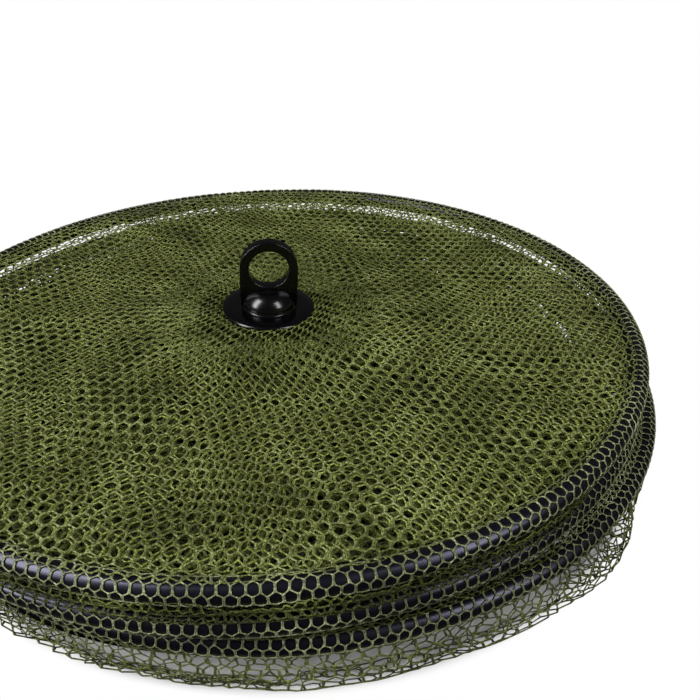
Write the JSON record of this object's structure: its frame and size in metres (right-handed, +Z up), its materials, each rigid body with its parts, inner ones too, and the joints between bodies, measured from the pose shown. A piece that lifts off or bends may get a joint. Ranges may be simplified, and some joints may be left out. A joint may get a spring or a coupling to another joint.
{
  "type": "keep net",
  "caption": "Collapsed round keep net, base end up: mesh end panel with a moulded eye, hoops with folded mesh walls between them, and a mouth ring with a tilting stud.",
  "frame": {"origin": "on the floor, under the middle of the outline of the collapsed net", "axes": "+Z up, from the mouth to the base end; +Y from the middle towards the block and its stud; +X to the right, seen from the side away from the block"},
  "size_m": [0.518, 0.5415, 0.1336],
  "materials": {
    "black_moulding": "gloss",
    "black_tube": "satin",
    "olive_net": "matte",
    "plated_steel": "satin",
    "brass": "satin"
  },
  "bodies": {
    "mouth": {"mouth_ring": "black_tube", "block_body": "black_moulding", "ring_screw_1": "plated_steel", "ring_screw_2": "plated_steel", "pivot_bolt": "plated_steel", "wall_net_3": "olive_net"},
    "arm": {"tilt_arm": "black_moulding", "bank_stick_stud": "brass"},
    "knob": {"lock_knob": "black_moulding"},
    "lowest_hoop": {"hoop_3": "black_tube", "hoop_plug_3": "black_moulding", "wall_net_2": "olive_net"},
    "middle_hoop": {"hoop_2": "black_tube", "hoop_plug_2": "black_moulding", "wall_net_1": "olive_net"},
    "top_hoop": {"hoop_1": "black_tube", "hoop_plug_1": "black_moulding", "base_panel_net": "olive_net", "base_eye": "black_moulding", "backing_disc": "black_moulding", "base_screw": "plated_steel"}
  },
  "joints": [
    {"name": "lowest_hoop_lift", "type": "slide", "parent": "mouth", "child": "lowest_hoop", "axis": [0, 0, 1], "range_m": [0, 0.34], "deforming": ["wall_net_3"]},
    {"name": "middle_hoop_lift", "type": "slide", "parent": "lowest_hoop", "child": "middle_hoop", "axis": [0, 0, 1], "range_m": [0, 0.34], "deforming": ["wall_net_2"]},
    {"name": "top_hoop_lift", "type": "slide", "parent": "middle_hoop", "child": "top_hoop", "axis": [0, 0, 1], "range_m": [0, 0.34], "deforming": ["wall_net_1"]},
    {"name": "arm_tilt", "type": "hinge", "parent": "mouth", "child": "arm", "pos_m": [-0.019, 0.23995, 0.0113], "axis": [1, 0, 0], "range_deg": [-90, 90]},
    {"name": "knob_turn", "type": "hinge", "parent": "mouth", "child": "knob", "pos_m": [-0.019, 0.23995, 0.0113], "axis": [1, 0, 0], "range_deg": [0, 360]}
  ]
}
